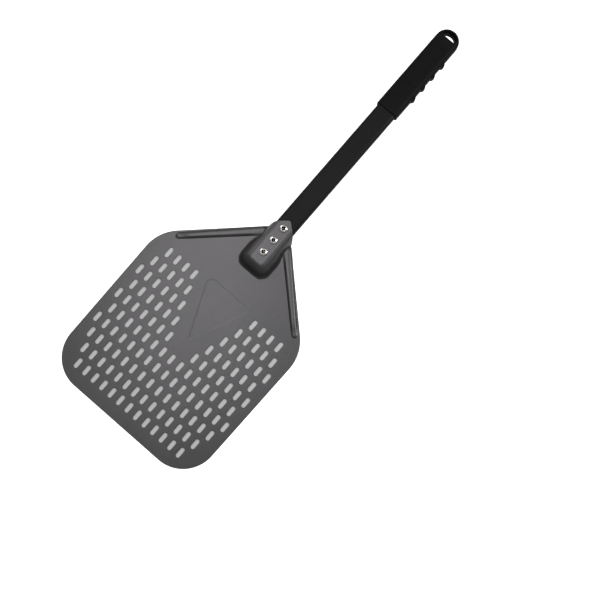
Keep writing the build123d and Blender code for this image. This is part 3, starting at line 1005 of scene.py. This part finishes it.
# %% Plug
# Inset and place along the handle of each ring of the lip, and the same with the ribs' depth for the stem.
PLUG_LIP = [(4, -1.35), (1.2, -1.2), (0.35, -1.0), (0.05, -0.7), (0, -0.25), (0.1, 0)]
PLUG_STEM = [
    (0, 0, 0), (0, 0.8, 0), (0, 1.2, 0.25), (0, 3.0, 0.25), (0, 5.4, 0.25), (0.4, 6.4, 0), (1.3, 6.5, 0),
    (1.5, 6.2, 0), (1.6, 1.6, 0), (2.4, 1.2, 0),
]
LIP_GAP, STEM_GAP, RIBS = 0.5, 1.6, 18


def plug():
    """Rings from the front face over the lip, along the ribbed stem, and back into the hollow."""

    def ring(gap, inset, along, ribs=0.0):
        width, height = (size - 2 * gap - 2 * inset for size in (TUBE_WIDTH, TUBE_HEIGHT))
        loop = section(width, height, max(TUBE_RADIUS - gap - inset, 0.4))[:-1]
        wave = 0.5 + 0.5 * np.cos(np.arange(len(loop)) / len(loop) * 2 * math.pi * RIBS)
        loop = loop * (1 - ribs / 12 * wave)[:, None]
        return stacked(loop[:, 0], along, loop[:, 1])

    lip = [ring(LIP_GAP, *place) for place in PLUG_LIP]
    return ringed_body(lip + [ring(STEM_GAP, *place) for place in PLUG_STEM])


points, faces = plug()
make_piece("end_plug", handle_to_drawing(points), faces, moulded_plug, "tube_plug")

# %% [markdown]
# ## The grip
#
# The grip is a moulded sleeve with a round end. Its skin is one profile, a quarter circle, a flat side and
# another quarter circle, carried along the plan from the mouth round the end and back. The flat top and
# bottom fill the space between. Four finger stops swell out of one side, steep towards the blade and
# sloping towards the end.

# %% Grip dimensions, in millimetres
GRIP_END = (691.826 - TUBE_START) / math.cos(HANDLE_ANGLE)
GRIP_START = GRIP_END - GRIP_LENGTH
ROUND_CENTRE = GRIP_END - GRIP_WIDTH / 2
STOP_PLACES = [31.3 + 20.3 * number for number in range(4)]
STOP_LENGTH, STOP_HEIGHT, STOP_PEAK = 11.0, 2.7, 0.36
MOUTH_RADIUS = 0.8
SLOT_RADIUS, SLOT_FLAT, SLOT_CORNER, SLOT_FLARE, WEB_HALF = 11.1, 4.6, 1.5, 2.0, 5.0


def mouth_drop(points_y):
    """How far the skin draws in near the mouth: a quarter circle of the mouth's radius."""
    left = np.clip(MOUTH_RADIUS - (points_y - GRIP_START), 0, MOUTH_RADIUS)
    return MOUTH_RADIUS - np.sqrt(MOUTH_RADIUS**2 - left**2)


def stop_swell(along):
    """Height of the finger stops: a quarter of an ellipse up to the peak, and half a cosine wave back."""
    swell = np.zeros_like(along)
    for place in STOP_PLACES:
        share = (along - GRIP_START - place) / STOP_LENGTH
        nose = np.sqrt(np.clip(1 - (1 - share / STOP_PEAK) ** 2, 0, 1))
        slope = 0.5 + 0.5 * np.cos(math.pi * (share - STOP_PEAK) / (1 - STOP_PEAK))
        bump = np.where(share < STOP_PEAK, nose, slope)
        swell = np.maximum(swell, np.where((share > 0) & (share < 1), bump, 0))
    return STOP_HEIGHT * swell


# %% Skin of the grip
def grip_plan():
    """Plan path of the skin, its outward directions, and 1 where a finger stop may swell."""
    near_mouth = GRIP_START + MOUTH_RADIUS * (1 - np.cos(np.linspace(0, math.pi / 2, 6)))[:-1]
    stopped, plain = (np.linspace(GRIP_START + MOUTH_RADIUS, ROUND_CENTRE, count) for count in (260, 24))
    right = stacked(GRIP_WIDTH / 2, np.concatenate([near_mouth, stopped]))
    end = unit_arc(0, math.pi, 57)[1:-1] * GRIP_WIDTH / 2 + [0, ROUND_CENTRE]
    left = stacked(-GRIP_WIDTH / 2, np.concatenate([near_mouth, plain])[::-1])
    path = np.concatenate([right, end, left])
    outward = path - stacked(0, np.minimum(path[:, 1], ROUND_CENTRE))
    outward = outward / np.linalg.norm(outward, axis=1, keepdims=True)
    return path, outward, np.arange(len(path)) < len(right)


def side_distance(plan):
    """How far inside the grip's border a point is: half the width less its distance from the middle line."""
    beyond = np.maximum(plan[..., 1] - ROUND_CENTRE, 0)
    return GRIP_WIDTH / 2 - np.hypot(plan[..., 0], beyond)


def grip_height(plan):
    """Upper skin: flat in the middle, then a quarter circle. The mouth's rounding makes both smaller."""
    drop = mouth_drop(plan[..., 1])
    over = np.maximum(GRIP_RADIUS - side_distance(plan), 0)
    return GRIP_HEIGHT / 2 - GRIP_RADIUS + np.sqrt(np.maximum((GRIP_RADIUS - drop) ** 2 - over**2, 0))


def grip_skin():
    """The side from 45 degrees up to 45 degrees down, carried along the plan. The stops fade at both ends."""
    path, outward, swells = grip_plan()
    angle = np.linspace(math.pi / 4, 0, 7)
    wall = np.linspace(1, -1, 9)[1:-1] * (GRIP_HEIGHT / 2 - GRIP_RADIUS)
    out_plan = np.concatenate([np.cos(angle), np.ones(7), np.cos(angle[::-1])])
    out_z = np.concatenate([np.sin(angle), np.zeros(7), -np.sin(angle[::-1])])
    corner = np.sin(angle) * GRIP_RADIUS + GRIP_HEIGHT / 2 - GRIP_RADIUS
    height = np.concatenate([corner, wall, -corner[::-1]])
    drop = mouth_drop(path[:, 1])[:, None]
    fade = ease((7.6 - np.abs(height)) / 4.0)
    spread = GRIP_RADIUS * (out_plan - 1) + swells[:, None] * stop_swell(path[:, 1])[:, None] * fade
    plan = path[:, None] + outward[:, None] * (spread - drop * out_plan)[..., None]
    z = height - drop * out_z
    return np.concatenate([plan, z[..., None]], -1)


# %% Hang slot of the grip
def slot_rings():
    """The opening's outline, a segment of a circle, and the flared profile that is carried along it."""
    flat_half = math.sqrt(SLOT_RADIUS**2 - SLOT_FLAT**2)
    first = math.atan2(SLOT_FLAT, flat_half)
    arc = unit_arc(first + 0.26, math.pi - first - 0.26, 17) * SLOT_RADIUS
    corners = np.concatenate([[(flat_half, SLOT_FLAT)], arc, [(-flat_half, SLOT_FLAT)]])
    radii = [SLOT_CORNER] + [0.5] * len(arc) + [SLOT_CORNER]
    loop = rounded_path(corners + [0, ROUND_CENTRE], radii, 1.2, 0.3)
    rim, web_edge = 0.7, 0.5
    quarter = np.linspace(0, math.pi / 2, 5)
    top_height = grip_height(outset(loop, SLOT_FLARE + rim))
    rings = [(SLOT_FLARE + rim * (1 - math.sin(a)), top_height - rim * (1 - math.cos(a))) for a in quarter]
    rings += [(web_edge / 2 * (1 - math.sin(a)), WEB_HALF + web_edge * (math.cos(a) - 1)) for a in quarter]
    rings += [(reach, -height) for reach, height in reversed(rings)]
    return np.stack([stacked(*outset(loop, reach).T, height) for reach, height in rings])


# %% Grip
def flat_face(skin, rings, side):
    """Top or bottom of the grip, between the skin's border, the mouth and the slot's flare."""
    border = skin[:, 0 if side > 0 else -1, :2]
    across = np.linspace(border[-1, 0], border[0, 0], 16)[1:-1]
    mouth = stacked(across, border[0, 1])
    hole = rings[0 if side > 0 else -1][:, :2]
    path, outward, _ = grip_plan()
    last = len(path) - 1
    chosen = np.concatenate([np.arange(1, 8), np.arange(8, last - 7, 4), np.arange(last - 7, last)])
    free = np.concatenate([(path - outward * inset)[chosen] for inset in (2.2, 2.8, 3.5, 4.3, 5.1, 6.0, 7.5)])
    rows = np.unique(path[:, 1][path[:, 1] < GRIP_START + MOUTH_RADIUS + 0.01].round(6))[1:]
    free = np.concatenate([free] + [stacked(np.linspace(-8, 8, 9), row) for row in rows])
    free = free[~inside(free, outset(hole, 0.25))]
    plan, faces = triangulate(np.concatenate([border, mouth]), [hole], free)
    return stacked(*plan.T, side * grip_height(plan)), faces


def grip_mouth(skin, faces_points):
    """Flat ring at the mouth, between the skin and the bore, and the bore itself with its blind end."""
    at_mouth = [points[np.abs(points[:, 1] - GRIP_START) < 1e-4] for points in faces_points]
    outer = np.concatenate([skin[0], skin[-1], *at_mouth])[:, [0, 2]]
    outer = outer[np.argsort(np.arctan2(outer[:, 1], outer[:, 0]))]
    outer = outer[np.linalg.norm(outer - np.roll(outer, 1, axis=0), axis=1) > 1e-3]
    bore = section(TUBE_WIDTH + 0.2, TUBE_HEIGHT + 0.2, TUBE_RADIUS + 0.1)[:-1]
    flat, faces = triangulate(outer, [bore])
    ring = stacked(flat[:, 0], GRIP_START, flat[:, 1])
    blind_end = TUBE_LENGTH + 0.1
    walls = np.stack([stacked(bore[:, 0], at, bore[:, 1]) for at in (GRIP_START, blind_end)])
    end, end_faces = triangulate(bore)
    cap = stacked(end[:, 0], blind_end, end[:, 1])
    return (ring, faces), grid_patch(walls, wrap=True), (cap, end_faces)


skin, rings = grip_skin(), slot_rings()
top, bottom = flat_face(skin, rings, 1), flat_face(skin, rings, -1)
mouth = grip_mouth(skin, [top[0], bottom[0]])
points, faces = join(grid_patch(skin), top, bottom, grid_patch(rings, wrap=True), *mouth)
make_piece("moulded_grip_sleeve", handle_to_drawing(points), faces, moulded_grip, "grip")

# %% [markdown]
# ## Studio
#
# The peel lies on a plain pale floor. Seen directly, the floor shines white. Below the blade its colour is
# darker and it doesn't shine, a painted shadow, so that the slots show it in grey. One long soft light lies
# mirrored in the blade and fades towards its corners. A weak light from each side draws the pressed edges,
# and a dim even surrounding fills the shadows. The camera looks almost straight down, a little from the front
# and from the +X side.

# %% Floor
FLOOR_HALF, FLOOR_WHITE, FLOOR_PAINTED_SHADOW, FLOOR_GLOW = 15, 0.93, 0.5, 0.75
BLADE_CENTRE, BLADE_CORE, BLADE_ROUND = 120, (0.0755, 0.0645, 0), (0.042, 0.049)
floor_mesh = bpy.data.meshes.new("floor")
floor_corners = [(x * FLOOR_HALF, y * FLOOR_HALF, 0) for x, y in ((-1, -1), (1, -1), (1, 1), (-1, 1))]
floor_mesh.from_pydata(floor_corners, [], [(0, 1, 2, 3)])
floor = put("floor", floor_mesh)
floor_paint = bpy.data.materials.new("pale_floor")
floor_paint.use_nodes = True
floor_tree = floor_paint.node_tree
floor_shader = floor_tree.nodes["Principled BSDF"]
floor_shader.inputs["Roughness"].default_value = 0.9
floor_shader.inputs["Specular IOR Level"].default_value = 0.1
floor_shader.inputs["Emission Strength"].default_value = FLOOR_GLOW
# How far a place is outside a rectangle inside the blade: the length of max(|place - centre| - half, 0).
place = add_node(floor_tree, "ShaderNodeTexCoord").outputs["Object"]
for operation, amount in (
    ("SUBTRACT", (0, (FRONT_EDGE + BLADE_CENTRE) * MM, 0)),
    ("ABSOLUTE", (0, 0, 0)),
    ("SUBTRACT", BLADE_CORE),
    ("MAXIMUM", (0, 0, 0)),
):
    inputs = {0: place, 1: amount}
    place = add_node(floor_tree, "ShaderNodeVectorMath", inputs, operation=operation).outputs[0]
beyond = add_node(floor_tree, "ShaderNodeVectorMath", {0: place}, operation="LENGTH").outputs["Value"]
# Below the blade the floor is painted darker and doesn't glow: a painted shadow under the blade, fading out
# over the rectangle's rounding.
shade = mapped(floor_tree, beyond, *BLADE_ROUND, FLOOR_PAINTED_SHADOW, FLOOR_WHITE)
seen_directly = add_node(floor_tree, "ShaderNodeLightPath").outputs["Is Camera Ray"]
glow = math_node(floor_tree, "MULTIPLY", mapped(floor_tree, beyond, *BLADE_ROUND, 0.0, 1.0), seen_directly)
floor_tree.links.new(shade, floor_shader.inputs["Base Color"])
floor_tree.links.new(glow, floor_shader.inputs["Emission Color"])
floor_mesh.materials.append(floor_paint)


# %% Lights
def soft_light(name, place, target, size, power, turn=0.0):
    """A rectangular area light that faces a target. size is its width and length, turn its turn about Z."""
    data = bpy.data.lights.new(name, "AREA")
    data.shape, data.energy = "RECTANGLE", power
    data.size, data.size_y = size
    lamp = put(name, data)
    lamp.location = place
    direction = np.array(target, float) - np.array(place, float)
    tilt = math.acos(-direction[2] / np.linalg.norm(direction))
    lamp.rotation_euler = Euler((tilt, 0, math.atan2(-direction[0], direction[1]) + turn))


soft_light("key_light", (-0.28, 0.005, 1.3), (-0.28, 0.006, 0), (0.28, 0.9), 6.3, math.radians(23))
soft_light("left_light", (-1.25, 0.1, 0.85), (0, 0, 0), (0.7, 0.7), 4)
soft_light("right_light", (0.68, 0.58, 1.1), (0, 0, 0), (0.2, 0.2), 11)
world = bpy.data.worlds.new("studio")
bpy.context.scene.world = world
world.use_nodes = True
surrounding = world.node_tree.nodes["Background"]
surrounding.inputs["Color"].default_value = (0.92, 0.92, 0.92, 1)
seen_directly = add_node(world.node_tree, "ShaderNodeLightPath").outputs["Is Camera Ray"]
strength = mapped(world.node_tree, seen_directly, 0.0, 1.0, 0.3, 1.08)
world.node_tree.links.new(strength, surrounding.inputs["Strength"])
bpy.context.scene.view_settings.view_transform = "Standard"

# %% Camera
camera_data = bpy.data.cameras.new("camera")
camera_data.lens, camera_data.sensor_width = 50, 36
camera = put("camera", camera_data)
camera.location = (0.1368, -0.1640, 1.1123)
camera.rotation_euler = Euler((math.radians(5.839), math.radians(-1.013), math.radians(40.701)))
bpy.context.scene.camera = camera
print("camera is", round(camera.location.z, 3), "m above the floor")
